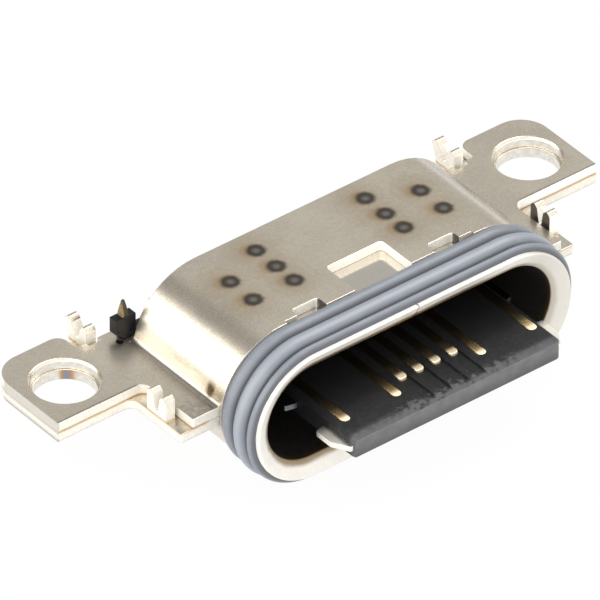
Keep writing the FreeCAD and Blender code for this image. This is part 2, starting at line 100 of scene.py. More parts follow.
# (x, y) of the pilot hole and the peg, the peg's bare spike, the tongue and the contacts
PILOT = (-4.95, 4.70)
PILOT_REACH = 0.15
PEG = (-5.0, 4.15)
SPIKE_ROOT = 0.89
SPIKE_X = 4.76
TONGUE_TIP = -1.55
CONTACT_TOP = high("contact_a6", 2)
LONG_CONTACT = -0.7

# Places of the further finishes of a sheet, of the shell and of the tongue, after the main one
# The dark and inside places carry painted shade; the window wall and the tongue's front face carry
# painted light.
CUT, BORE, DARK, WALL = range(1, 5)
RIM, INSIDE = range(1, 3)
LIT_FRONT, SHADED_SPIKE = range(1, 3)

# (y, radius) points of the shell's section, from the mouth round the rim to the back and in again
SHELL_PROFILE = (
    (0.34, MOUTH_R), (0.27, MOUTH_R + 0.003), (0.225, MOUTH_R + 0.014), (0.19, MOUTH_R + 0.04),
    (0.12, 1.44), (0.055, 1.57), (0.012, 1.66), (0.0, 1.69), (0.005, 1.712), (0.02, 1.727),
    (0.04, RIM_R), (0.10, RIM_R), (0.15, 1.63), (0.1933, SHELL_R), (RIM_DEPTH, SHELL_R),
    (SHELL_BACK - 0.02, SHELL_R), (SHELL_BACK, SHELL_R - 0.02),
    (SHELL_BACK, MOUTH_R + 0.02), (SHELL_BACK - 0.02, MOUTH_R),
)
RING_STEPS = 112
RIB_STEPS = (10, 14, 11)

# Distances that count as none when points are merged, a growth that counts as none, and the
# angles that count as flat and as smooth
LOFT_MERGE = 1e-4
COPY_MERGE = 2e-4
NO_GROWTH = 1e-6
FLAT_ANGLE = math.radians(0.5)
SMOOTH_ANGLE = math.radians(30)


# Shader expressions
def feed(tree, socket, value):
    """Links a socket to the value or socket that feeds it, or sets it to a plain value."""
    if isinstance(value, Value):
        value = value.socket
    if isinstance(value, bpy.types.NodeSocket):
        tree.links.new(value, socket)
    else:
        socket.default_value = value


class Value:
    """A shader socket that takes part in plain arithmetic."""

    def __init__(self, tree, socket):
        self.tree = tree
        self.socket = socket

    def _math(self, operation, *parts):
        node = self.tree.nodes.new("ShaderNodeMath")
        node.operation = operation
        for place, part in enumerate(parts):
            feed(self.tree, node.inputs[place], part)
        return Value(self.tree, node.outputs[0])

    def __add__(self, other):
        return self._math("ADD", self, other)

    def __radd__(self, other):
        return self._math("ADD", other, self)

    def __sub__(self, other):
        return self._math("SUBTRACT", self, other)

    def __rsub__(self, other):
        return self._math("SUBTRACT", other, self)

    def __mul__(self, other):
        return self._math("MULTIPLY", self, other)

    def __rmul__(self, other):
        return self._math("MULTIPLY", other, self)

    def __neg__(self):
        return self._math("SUBTRACT", 0.0, self)

    def __abs__(self):
        return self._math("ABSOLUTE", self)

    def low_of(self, other):
        """The smaller of two values."""
        return self._math("MINIMUM", self, other)

    def high_of(self, other):
        """The larger of two values."""
        return self._math("MAXIMUM", self, other)

    def root(self):
        """Square root."""
        return self._math("SQRT", self)


def distance(across, along):
    """Length of the way between two points, from its parts along two square axes."""
    return (across * across + along * along).root()


class Nodes:
    """A node tree and the ways in which nodes are added to it."""

    def __init__(self, tree):
        self.tree = tree

    def node(self, kind, settings=None, **inputs):
        """A node with its settings made first, then its sockets linked or set.

        A socket goes by its name, with _ for a space, or by its number after a _."""
        made = self.tree.nodes.new(kind)
        for name, value in (settings or {}).items():
            setattr(made, name, value)
        for name, value in inputs.items():
            place = int(name[1:]) if name[1:].isdigit() else name.replace("_", " ")
            feed(self.tree, made.inputs[place], value)
        return made

    def axes(self, vector):
        """The three parts of a vector, as values."""
        split = self.node("ShaderNodeSeparateXYZ", Vector=vector)
        return [Value(self.tree, part) for part in split.outputs]

    def step(self, value, start, end):
        """Smooth step from 0 at start to 1 at end."""
        made = self.node("ShaderNodeMapRange", {"interpolation_type": "SMOOTHSTEP"},
                         Value=value, From_Min=start, From_Max=end, To_Min=0.0, To_Max=1.0)
        return Value(self.tree, made.outputs[0])

    def rays(self, kind):
        """1 for the rays of one kind and 0 for all others."""
        return Value(self.tree, self.node("ShaderNodeLightPath").outputs[kind])


class Finish(Nodes):
    """One procedural material, with its shader and the places of its pattern in millimetres."""

    def __init__(self, name, colour, metallic, roughness, **constants):
        self.material = bpy.data.materials.new(name)
        self.material.use_nodes = True
        self.material.diffuse_color = (*colour, 1.0)
        super().__init__(self.material.node_tree)
        self.shader = self.tree.nodes["Principled BSDF"]
        self.shader.inputs["Base Color"].default_value = (*colour, 1.0)
        self.shader.inputs["Metallic"].default_value = metallic
        self.shader.inputs["Roughness"].default_value = roughness
        for socket, value in constants.items():
            self.shader.inputs[socket.replace("_", " ")].default_value = value
        self.place = self.node("ShaderNodeTexCoord").outputs["Object"]
        self.x, self.y, self.z = (part * (1 / MM) for part in self.axes(self.place))

    def noise(self, size, detail=2.0, roughness=0.5, stretch=(1, 1, 1)):
        """Noise whose patches are about size millimetres across, as a value."""
        per = Vector(stretch) * (1 / (size * MM))
        spread = self.node("ShaderNodeMapping", Vector=self.place, Scale=per)
        made = self.node("ShaderNodeTexNoise", None, Vector=spread.outputs[0], Scale=1.0,
                         Detail=detail, Roughness=roughness)
        return Value(self.tree, made.outputs[0])

    def mix(self, share, first, second):
        """Blend of two colours."""
        first, second = (part if isinstance(part, bpy.types.NodeSocket) else (*part, 1.0)
                         for part in (first, second))
        made = self.node("ShaderNodeMix", {"data_type": "RGBA"}, _0=share, _6=first, _7=second)
        return made.outputs[2]

    def layers(self, tone, *coats):
        """A colour under further coats, each the share that covers and its colour."""
        for share, colour in coats:
            tone = self.mix(share, tone, colour)
        return tone

    def port_radius(self):
        """Distance from the line between the middles of the port's round ends."""
        return distance((abs(self.x) - END_X).high_of(0.0), self.z)

    def colour(self, socket):
        """Colour of the surface."""
        feed(self.tree, self.shader.inputs["Base Color"], socket)

    def rough(self, value):
        """Roughness of the surface."""
        feed(self.tree, self.shader.inputs["Roughness"], value)

    def metal(self, value):
        """Share of the surface that is bare metal."""
        feed(self.tree, self.shader.inputs["Metallic"], value)

    def relief(self, height, depth):
        """Height in millimetres that the light sees."""
        bump = self.node("ShaderNodeBump", None, Height=height * (depth * MM), Strength=1.0,
                         Distance=1.0)
        feed(self.tree, self.shader.inputs["Normal"], bump.outputs[0])


# Shape helpers, all shapes drawn at one unit for a millimetre
def fresh():
    """Nothing selected."""
    bpy.ops.object.select_all(action="DESELECT")


def take(piece):
    """Makes a piece the only one selected."""
    fresh()
    piece.select_set(True)
    bpy.context.view_layer.objects.active = piece


def pick(piece, test, what="VERT"):
    """Selects the parts of a piece in edit mode that pass a test, and counts them."""
    mesh = bmesh.from_edit_mesh(piece.data)
    groups = {"VERT": mesh.verts, "EDGE": mesh.edges, "FACE": mesh.faces}
    for group in groups.values():
        for part in group:
            part.select_set(False)
    count = 0
    for part in groups[what]:
        if test(part):
            part.select_set(True)
            count += 1
    mesh.select_flush_mode()
    bmesh.update_edit_mesh(piece.data)
    return count


def apply_modifier(piece, kind, **settings):
    """Adds a modifier and applies it."""
    take(piece)
    modifier = piece.modifiers.new(kind.lower(), kind)
    for name, value in settings.items():
        setattr(modifier, name, value)
    bpy.ops.object.modifier_apply(modifier=modifier.name)


def port_loft(name, profile):
    """Closed ring round the port from (y, radius) points of its section."""
    fresh()
    first_y, first_r = profile[0]
    half_step = math.pi / RING_STEPS
    bpy.ops.mesh.primitive_circle_add(vertices=RING_STEPS, radius=first_r, location=(0, 0, 0),
                                      rotation=(math.pi / 2, half_step, 0))
    piece = bpy.context.object
    piece.name = name
    piece.location.y = first_y
    bpy.ops.object.transform_apply(location=True, rotation=True, scale=True)
    bpy.ops.object.mode_set(mode="EDIT")
    bpy.ops.mesh.select_mode(type="VERT")
    bpy.ops.mesh.select_all(action="SELECT")
    before_y, before_r = first_y, first_r
    for y, r in profile[1:] + profile[:1]:
        bpy.ops.mesh.extrude_region_move(TRANSFORM_OT_translate={"value": (0, y - before_y, 0)})
        grow = r / before_r
        if abs(grow - 1) > NO_GROWTH:
            bpy.ops.transform.resize(value=(grow, 1, grow), center_override=(0, 0, 0))
        before_y, before_r = y, r
    for side in (1, -1):
        pick(piece, lambda v: v.co.x * side > 0)
        bpy.ops.transform.translate(value=(side * END_X, 0, 0))
    bpy.ops.mesh.select_all(action="SELECT")
    bpy.ops.mesh.remove_doubles(threshold=LOFT_MERGE)
    bpy.ops.mesh.normals_make_consistent(inside=False)
    bpy.ops.object.mode_set(mode="OBJECT")
    return piece


def arc_points(start, end, rise, steps):
    """(y, radius) points of a round crown between two grooves, without the first."""
    fullness = 0.75
    points = []
    for i in range(1, steps + 1):
        share = i / steps
        y = start[0] + (end[0] - start[0]) * share
        r = start[1] + (end[1] - start[1]) * share
        points.append((y, r + rise * math.sin(math.pi * share) ** fullness))
    return points


def fine_copy(node, name):
    """Merged copy of a node at one unit for a millimetre, flat faces whole."""
    fresh()
    piece = bpy.data.objects.new(name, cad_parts[node].data.copy())
    bpy.context.scene.collection.objects.link(piece)
    piece.data.materials.clear()
    take(piece)
    if piece.data.has_custom_normals:
        bpy.ops.mesh.customdata_custom_splitnormals_clear()
    piece.scale = (1 / MM, 1 / MM, 1 / MM)
    bpy.ops.object.transform_apply(location=True, rotation=True, scale=True)
    bpy.ops.object.mode_set(mode="EDIT")
    bpy.ops.mesh.select_all(action="SELECT")
    bpy.ops.mesh.remove_doubles(threshold=COPY_MERGE)
    bpy.ops.mesh.dissolve_limited(angle_limit=FLAT_ANGLE)
    bpy.ops.object.mode_set(mode="OBJECT")
    return piece


def round_upright(piece, test, width):
    """Rounds the upright edges of a piece whose middle passes a test."""
    lean, shortest = 0.002, 0.02

    def upright(edge):
        """Upright edge that passes the test."""
        first, last = (v.co for v in edge.verts)
        level = math.hypot(first.x - last.x, first.y - last.y)
        tall = level < lean and abs(first.z - last.z) > shortest
        return tall and test((first + last) / 2)

    take(piece)
    bpy.ops.object.mode_set(mode="EDIT")
    bpy.ops.mesh.select_mode(type="EDGE")
    if pick(piece, upright, "EDGE"):
        bpy.ops.mesh.bevel(offset=width, segments=4, affect="EDGES")
    bpy.ops.mesh.select_mode(type="VERT")
    bpy.ops.object.mode_set(mode="OBJECT")


def soften(piece, width, segments=2, limit=38):
    """Rounds the edges of a piece that are sharper than a limit in degrees."""
    apply_modifier(piece, "BEVEL", width=width, segments=segments, limit_method="ANGLE",
                   angle_limit=math.radians(limit), use_clamp_overlap=False,
                   miter_outer="MITER_ARC")


def settle(piece, materials, node):
    """Brings a piece to metres, smooths it and sets it in place of its node."""
    take(piece)
    bpy.ops.object.shade_smooth_by_angle(angle=SMOOTH_ANGLE)
    apply_modifier(piece, "WEIGHTED_NORMAL", keep_sharp=True, weight=50)
    piece.scale = (MM, MM, MM)
    bpy.ops.object.transform_apply(location=True, rotation=True, scale=True)
    while len(piece.data.materials) < len(materials):
        piece.data.materials.append(None)
    for place, material in enumerate(materials):
        piece.data.materials[place] = material
    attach(piece, BODY)
    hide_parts(node)
    fresh()


def paint_faces(piece, place, test):
    """Gives the faces that pass a test the finish of another place."""
    while len(piece.data.materials) <= place:
        piece.data.materials.append(None)
    for face in piece.data.polygons:
        if test(face):
            face.material_index = place


# Finishes
def shade(colour, *parts):
    """A colour made paler or darker by one part, or by one each for red, green and blue."""
    parts = parts * 3 if len(parts) == 1 else parts
    return tuple(min(1.0, c * part) for c, part in zip(colour, parts))


def nearest_weld(made, shift_x=0.0, shift_y=0.0):
    """Distance to the nearest weld spot, the spots being moved to the left and back."""
    nearest = None
    for spot_x, spot_y in WELD_SPOTS:
        gap = distance(abs(made.x + shift_x) - spot_x, made.y - spot_y - shift_y)
        nearest = nearest.low_of(gap) if nearest else gap
    return nearest


def weld_coats(made, finish, wobble):
    """Heat tint, ring and core of the weld spots, and the masks of the last two."""
    on_top = made.step(made.z, 1.2, 1.5)
    spot, tinted = nearest_weld(made), nearest_weld(made, 0.12, 0.07)
    wide = (1 - made.step(tinted + wobble * 3, 0.25, 0.90)) * on_top
    heat = (1 - made.step(tinted + wobble, 0.16, 0.36)) * on_top
    ring = (1 - made.step(spot + wobble * 0.5, 0.175, 0.315)) * on_top
    core = (1 - made.step(spot + wobble * 0.3, 0.03, 0.14)) * on_top
    coats = ((wide * 0.35, finish.heat_tint_and_reflection_colour), (heat * 0.7, finish.heat_tint_and_reflection_colour),
             (ring * 0.94, finish.weld_colour), (core * 0.75, finish.weld_core_and_shade))
    return coats, ring, core


def wall_coats(made, finish, wobble, fleck):
    """Brown mark on the left wall, mottled dark patches on the front of the left flange beside it,
    and painted shade in the crease where the flange meets the wall.
    """
    mark_y, mark_z = WALL_MARK
    mark = distance((made.y - mark_y) * 0.55, (made.z - mark_z) * 0.42) + wobble * 0.5
    mark = (1 - made.step(mark, 0.03, 0.11)) * made.step(-made.x, 4.4, 4.5)
    flange = made.step(SHEET + 0.12 - made.z, 0.0, 0.1) * made.step(-made.x, 4.6, 4.75)
    dark_mottle = made.step(fleck + (2.0 - made.y) * 0.25, 0.36, 0.72) * flange
    dark_mottle = dark_mottle * (1 - made.step(made.y, 1.9, 2.5))
    # Painted shade in the crease along the foot of the left wall.
    corner = (1 - made.step(-made.x, 4.70, 5.04)) * flange
    return ((mark * 0.95, shade(finish.mark_and_painted_light_colour, 0.55)), (dark_mottle * 0.4, finish.weld_core_and_shade),
            (corner * 0.45, finish.weld_core_and_shade))


def painted_bend_shade(made, finish):
    """Painted shade: a dark line along the rolled front edge of the ears, and darker bands on the
    bend at the right where it turns away from the light.
    """
    rolled = 1 - made.step(made.y, EAR_FRONT + 0.03, EAR_FRONT + 0.08)
    rolled = rolled * made.step(made.y, 3.05, 3.12)
    rolled = rolled * made.step(abs(made.x), 5.55, 5.75) * made.step(made.z, 0.20, 0.24)
    # Painted shade on the right bend, a wide band and a narrower darker one.
    bend = made.step(made.z, 0.5, 0.8) * (1 - made.step(made.x, 4.36, 4.6))
    return ((rolled * 0.6, finish.weld_core_and_shade),
            (made.step(made.x, 3.66, 3.9) * bend * 0.52, finish.weld_core_and_shade),
            (made.step(made.x, 4.20, 4.27) * bend * 0.65, finish.weld_core_and_shade))


def satin_steel(finish):
    """Satin nickel over steel of the two folded sheets, with its weld spots, heat marks and painted
    shade.
    """
    made = Finish("satin_nickel", finish.cover_colour, 1.0, finish.cover_roughness)
    grain = made.noise(0.045, 3.0, 0.7)
    cloud = made.noise(1.3, 3.0, 0.55)
    fleck = made.noise(0.12, 2.0, 0.6)
    wobble = (fleck - 0.5) * 0.11
    dull, fine, pale = (shade(finish.cover_colour, part) for part in (0.90, 0.78, 1.12))
    plain = made.mix(made.step(cloud * 0.5 + fleck * 0.5, 0.38, 0.62), dull, finish.cover_colour)
    welds, ring, core = weld_coats(made, finish, wobble)
    made.colour(made.layers(
        plain, (made.step(grain, 0.50, 0.72), fine), (made.step(0.5 - grain, 0.0, 0.22), pale),
        *welds, *wall_coats(made, finish, wobble, fleck), *painted_bend_shade(made, finish)))
    near_peg = 1 - made.step(distance(made.x - PEG[0], made.y - PEG[1]), 0.4, 1.1)
    made.rough(finish.cover_roughness + (grain - 0.5) * 0.18 + (cloud - 0.5) * 0.08
               + ring * 0.18 + near_peg * 0.06)
    made.relief(grain + ring * 3.0 * core, 0.0009)
    return made.material


def painted_light_window_steel():
    """Painted light: pale walls of the window and the notches in the cover, a paler copy of the cut
    edges where the seal shades them.
    """
    made = Finish("window_wall", (0.98, 0.96, 0.92), 0.1, 0.4)
    streak = made.noise(0.06, 2.0, 0.5)
    made.colour(made.mix(made.step(streak, 0.35, 0.7), (0.93, 0.88, 0.78), (0.99, 0.97, 0.92)))
    made.rough(0.4 + (streak - 0.5) * 0.2)
    made.relief(streak, 0.001)
    return made.material


def cut_steel(finish):
    """Bright rough cut edges of the sheets, with a painted golden reflection where the two sheets
    meet, painted shade along their lower rolled edge and a painted highlight on the right front
    leg.
    """
    made = Finish("cut_edge", finish.edge_colour, 0.25, 0.5)
    streak = made.noise(0.035, 2.0, 0.6, (1.0, 1.0, 0.25))
    cloud = made.noise(0.5, 2.0, 0.5)
    outside = made.step(abs(made.x), 4.9, 5.1)
    # Painted golden reflection along the seam between the two sheets.
    seam = (1 - made.step(abs(made.z + (cloud - 0.5) * 0.04), 0.015, 0.06)) * outside
    left_end = made.step(-made.x, 7.90, 7.94)
    lower_middle = 1 - made.step(abs(made.z + 0.11), 0.02, 0.10)
    # Painted shade along the lower rolled edge, stronger at the left end.
    rolled = (1 - made.step(made.z, -0.255, -0.20)) * outside
    # Painted highlight on the cut edges of the right front leg.
    right_leg = made.step(made.x, 5.42, 5.52) * made.step(made.z, 0.02, 0.12)
    made.colour(made.layers(
        shade(finish.edge_colour, 0.80),
        (made.step(streak, 0.35, 0.7), shade(finish.edge_colour, 0.92)),
        (seam * 0.9, shade(finish.edge_colour, 0.594, 0.4488, 0.2508)),
        (left_end * (1 - lower_middle * 0.7), shade(finish.edge_colour, 0.55)),
        (rolled * (left_end * 0.4 + 0.3), finish.weld_core_and_shade),
        (right_leg * 0.8, (0.99, 0.98, 0.95))))
    made.rough(0.46 + (streak - 0.5) * 0.25)
    made.relief(streak, 0.002)
    return made.material


def bore_steel(finish):
    """Polished bores of the screw holes, with a brown and a blue streak low in the back of the left
    one.
    """
    made = Finish("bore_steel", finish.edge_colour, 1.0, 0.3)
    streak = made.noise(0.12, 2.0, 0.5)
    left_back = made.step(made.y, HOLE_Y + 0.25, HOLE_Y + 0.35) * made.step(-made.x, 1.0, 1.1)
    across = abs(made.x + HOLE_X - 0.48)
    brown_streak = (1 - made.step(across, 0.06, 0.20)) * left_back * made.step(0.02 - made.z, 0.0, 0.02)
    blue = (1 - made.step(across, 0.02, 0.07)) * left_back * made.step(-made.z, 0.0, 0.03)
    made.colour(made.layers(
        shade(finish.edge_colour, 0.86), (made.step(streak, 0.4, 0.65), finish.edge_colour),
        (brown_streak * 0.85, (0.42, 0.22, 0.08)), (blue * 0.8, (0.24, 0.30, 0.44))))
    made.rough(0.30 + (streak - 0.5) * 0.1)
    made.relief(streak, 0.0008)
    return made.material


def bright_steel(finish):
    """Bright drawn steel of the rolled shell."""
    made = Finish("bright_nickel", finish.shell_colour, 1.0, finish.shell_roughness)
    grain = made.noise(0.03, 2.0, 0.6)
    drawn = made.noise(0.02, 2.0, 0.6, (1.0, 0.08, 1.0))
    dull = shade(finish.shell_colour, 0.9)
    made.colour(made.mix(made.step(grain, 0.3, 0.75), dull, finish.shell_colour))
    made.rough(finish.shell_roughness + (drawn - 0.5) * 0.14)
    made.relief(drawn, 0.0005)
    return made.material


def plate_steel(finish):
    """Steel of the plates in the tongue, with a painted highlight at its bare nose and painted
    shade inside the mouth, lighter on the left.
    """
    made = Finish("plate_steel", finish.shell_colour, 1.0, 0.3)
    grain = made.noise(0.05, 2.0, 0.6)
    # Painted shade inside the mouth, lighter on the left where the light comes from, and a painted
    # highlight on the bare nose in front of it.
    inside = made.step(made.y + (grain - 0.5) * 0.2, -0.75, -0.35)
    deep = made.mix(made.step(made.x, -0.5, 0.5), (0.16, 0.165, 0.19), (0.04, 0.04, 0.045))
    made.colour(made.mix(inside, (0.99, 0.97, 0.92), deep))
    made.rough(0.32 + (grain - 0.5) * 0.15)
    made.relief(grain, 0.001)
    return made.material


def rim_steel(finish):
    """Pressed face of the flared rim, blasted fine and almost white, with a painted brown
    reflection behind its lip and under its top, and painted shade at its right end.
    """
    made = Finish("rim_steel", finish.edge_colour, 0.4, 0.5)
    grain = made.noise(0.028, 3.0, 0.65)
    cloud = made.noise(0.4, 2.0, 0.5)
    blasted = made.step(grain * 0.6 + cloud * 0.4, 0.38, 0.66)
    # Painted brown reflection on the parts of the rim behind its lip.
    fringe = made.step(made.y + (cloud - 0.5) * 0.06, 0.105, 0.175)
    # Painted shade at the right end of the rim.
    right_end = made.step(made.x, 2.9, 3.8)
    # Painted brown reflection under the top of the rim, near the mouth.
    under = (1 - made.step(made.port_radius(), 1.42, 1.53)) * made.step(made.z, 0.75, 1.3)
    under = under * (1 - made.step(made.x, 1.6, 2.6))
    made.colour(made.layers(
        shade(finish.edge_colour, 0.87, 0.90, 0.97), (blasted, finish.edge_colour),
        (fringe * 0.9, finish.mark_and_painted_light_colour), (right_end * 0.7, shade(finish.edge_colour, 0.62)),
        (under * 0.7, finish.heat_tint_and_reflection_colour)))
    made.metal(under * 0.6 + 0.4)
    made.rough(0.5 + (grain - 0.5) * 0.2)
    made.relief(grain, 0.0016)
    return made.material


def painted_shade_steel(finish):
    """Painted shade: dull dark steel for the inside wall of the shell and dark walls of the sheets,
    with a painted brown reflection behind the rim.
    """
    made = Finish("painted_shade_wall", finish.inside_shade_colour, 1.0, 0.48)
    grain = made.noise(0.035, 2.0, 0.6)
    # Painted brown reflection on the inside wall just behind the rim.
    brown = 1 - made.step(made.y + (grain - 0.5) * 0.1, 0.24, 0.42)
    made.colour(made.layers(
        shade(finish.inside_shade_colour, 0.7), (made.step(grain, 0.35, 0.7), finish.inside_shade_colour),
        (brown * 0.8, (0.30, 0.18, 0.09))))
    made.rough(0.45 + (grain - 0.5) * 0.25)
    made.relief(grain, 0.0012)
    return made.material


def grey_silicone(finish):
    """Smooth grey silicone of the sealing ring, with painted shade in its grooves and a painted
    highlight on its crests.
    """
    made = Finish("grey_silicone", finish.seal_colour, 0.0, 0.4,
                  Coat_Weight=0.2, Coat_Roughness=0.28)
    cloud = made.noise(0.5, 3.0, 0.6)
    dust = made.noise(0.035, 2.0, 0.6)
    paler, deep, crest_highlight_tone = (shade(finish.seal_colour, part) for part in (1.13, 0.42, 1.6))
    radius = made.port_radius()
    middle_rib = 1 - made.step(abs(made.y - 0.6), 0.12, 0.26)
    # Painted highlight along the rib crests, strongest on the middle rib.
    crest = made.step(radius, 1.87, 1.93) * (middle_rib * 0.55 + 0.2)
    # Painted shade in the grooves between the ribs.
    groove = 1 - made.step(radius, 1.79, 1.88)
    made.colour(made.layers(
        finish.seal_colour, (made.step(cloud, 0.35, 0.7), paler),
        (made.step(dust, 0.55, 0.85) * 0.35, paler), (crest, crest_highlight_tone), (groove * 0.9, deep)))
    made.rough(0.34 + cloud * 0.14 + (dust - 0.5) * 0.14)
    made.relief(dust, 0.0014)
    return made.material


def black_moulding(finish):
    """Fine matt black plastic of the tongue and its block, rubbed grey towards the tip, with
    painted shade towards the back in the mouth.
    """
    made = Finish("black_moulding", finish.plastic_colour, 0.0, 0.5, Specular_IOR_Level=0.25)
    fine = made.noise(0.03, 2.0, 0.6)
    cloud = made.noise(0.6, 2.0, 0.5)
    patch = made.noise(0.14, 2.0, 0.5)
    paler = tuple(c * 1.8 + 0.008 for c in finish.plastic_colour)
    reach = 1.1 - made.step(abs(made.x), 1.0, 2.2) * 0.85
    rubbed = 1 - made.step(made.y + (patch - 0.5) * reach, TONGUE_TIP, TONGUE_TIP + 0.30)
    made.colour(made.layers(
        finish.plastic_colour, (made.step(fine, 0.50, 0.76), paler),
        (made.step(patch, 0.45, 0.62) * 0.35, paler),
        # Painted shade towards the back, in the mouth.
        (made.step(made.y, -1.1, -0.3) * 0.7, shade(finish.plastic_colour, 0.5)),
        (rubbed * 0.62, finish.worn_and_lit_tip_colour)))
    made.rough(0.42 + (cloud - 0.5) * 0.12 + (fine - 0.5) * 0.2)
    made.relief(fine, 0.002)
    return made.material


def lit_front_moulding(finish):
    """Grey front face of the tongue: painted light, a lighter copy of the black plastic where the
    front light falls, pale along its edges and with painted shade towards the bottom.
    """
    made = Finish("lit_tip_face", finish.worn_and_lit_tip_colour, 0.0, 0.45)
    fine = made.noise(0.035, 3.0, 0.7)
    cloud = made.noise(0.3, 2.0, 0.5)
    edge = made.step(abs(made.z) + (fine - 0.5) * 0.14, 0.20, 0.30)
    # Painted shade towards the bottom of the face.
    below = 1 - made.step(made.z, -0.24, 0.14)
    made.colour(made.layers(
        shade(finish.worn_and_lit_tip_colour, 0.72),
        (made.step(fine * 0.5 + cloud * 0.5, 0.36, 0.64), finish.worn_and_lit_tip_colour),
        (edge * 0.6, shade(finish.worn_and_lit_tip_colour, 1.3)), (below * 0.7, shade(finish.worn_and_lit_tip_colour, 0.3))))
    made.rough(0.42 + (fine - 0.5) * 0.25)
    made.relief(fine, 0.003)
    return made.material


def brown_spike_shaded(finish):
    """Bare tip of the peg, brown on its left side, with painted shade on its right."""
    made = Finish("brown_spike_shaded", finish.mark_and_painted_light_colour, 0.4, 0.4)
    fine = made.noise(0.05, 2.0, 0.6)
    # Painted shade on the right side of the spike, away from the light.
    side = made.step(-made.x + (fine - 0.5) * 0.06, SPIKE_X + 0.02, SPIKE_X + 0.07)
    dark, brown = (shade(finish.mark_and_painted_light_colour, part) for part in (0.12, 0.85))
    made.colour(made.mix(side, dark, brown))
    made.rough(0.4 + (fine - 0.5) * 0.2)
    made.relief(fine, 0.001)
    return made.material


def gold_plating(finish, name, nose):
    """Thin gold over nickel on the contacts, with a painted highlight at the nose and painted shade
    deep in the mouth.
    """
    made = Finish(name, finish.gold_colour, 1.0, 0.24)
    grain = made.noise(0.03, 2.0, 0.6)
    # Painted highlight on the nose, paler and less metallic.
    tip = 1 - made.step(made.y, nose + 0.10, nose + 0.26)
    # Painted shade deep in the mouth.
    in_mouth = made.step(made.y, nose + 0.12, nose + 0.62) * (1 - made.step(made.y, 3.4, 4.2))
    made.colour(made.layers(
        shade(finish.gold_colour, 0.86, 0.80, 0.68),
        (made.step(grain, 0.4, 0.7), finish.gold_colour),
        (tip * 0.8, shade(finish.gold_colour, 1.03, 1.11, 1.32)),
        (in_mouth * 0.97, shade(finish.gold_colour, 0.19))))
    made.metal(1 - tip * 0.5)
    made.rough(0.24 + (grain - 0.5) * 0.12 + in_mouth * 0.06)
    made.relief(grain, 0.00025)
    return made.material


# Properties
class SocketShape(bpy.types.PropertyGroup):
    """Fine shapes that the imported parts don't have."""

    sheet_edge: bpy.props.FloatProperty(
        name="Sheet edge", description="Rounding of the edges of the folded sheets",
        unit="LENGTH", default=0.016 * MM, min=0.0)
    window_corner: bpy.props.FloatProperty(
        name="Window corner", description="Rounding of the inner corners of the window",
        unit="LENGTH", default=0.10 * MM, min=0.0)
    window_shift: bpy.props.FloatProperty(
        name="Window shift", description="Way that the window's right side moves outwards",
        unit="LENGTH", default=0.16 * MM)
    seam_place: bpy.props.FloatProperty(
        name="Seam place", description="Place of the rim's seam to the right of the middle",
        unit="LENGTH", default=0.08 * MM)
    seam_gap: bpy.props.FloatProperty(
        name="Seam gap", description="Width of the rim's seam",
        unit="LENGTH", default=0.045 * MM, min=0.0)
    plate_edge: bpy.props.FloatProperty(
        name="Plate edge", description="Rounding of the edges of the plates in the tongue",
        unit="LENGTH", default=0.018 * MM, min=0.0)
    groove_depth: bpy.props.FloatProperty(
        name="Groove depth", description="Depth of the sealing ring's grooves under its widest rib",
        unit="LENGTH", default=0.19 * MM, min=0.0)
    rib_rise: bpy.props.FloatVectorProperty(
        name="Rib rise", description="Rise of the sealing ring's three ribs, from the front",
        unit="LENGTH", default=(0.13 * MM, 0.189 * MM, 0.145 * MM), min=0.0)
    tongue_edge: bpy.props.FloatProperty(
        name="Tongue edge", description="Rounding of the edges of the moulding",
        unit="LENGTH", default=0.012 * MM, min=0.0)
    contact_edge: bpy.props.FloatProperty(
        name="Contact edge", description="Rounding of the edges of the contacts",
        unit="LENGTH", default=0.03 * MM, min=0.0)
    contact_nose: bpy.props.FloatProperty(
        name="Contact nose", description="Rounding of the front corners of the contacts",
        unit="LENGTH", default=0.085 * MM, min=0.0)
    nose_dip: bpy.props.FloatProperty(
        name="Nose dip", description="Part of the dip that the contacts' noses keep",
        subtype="FACTOR", default=0.15, min=0.0, max=1.0)


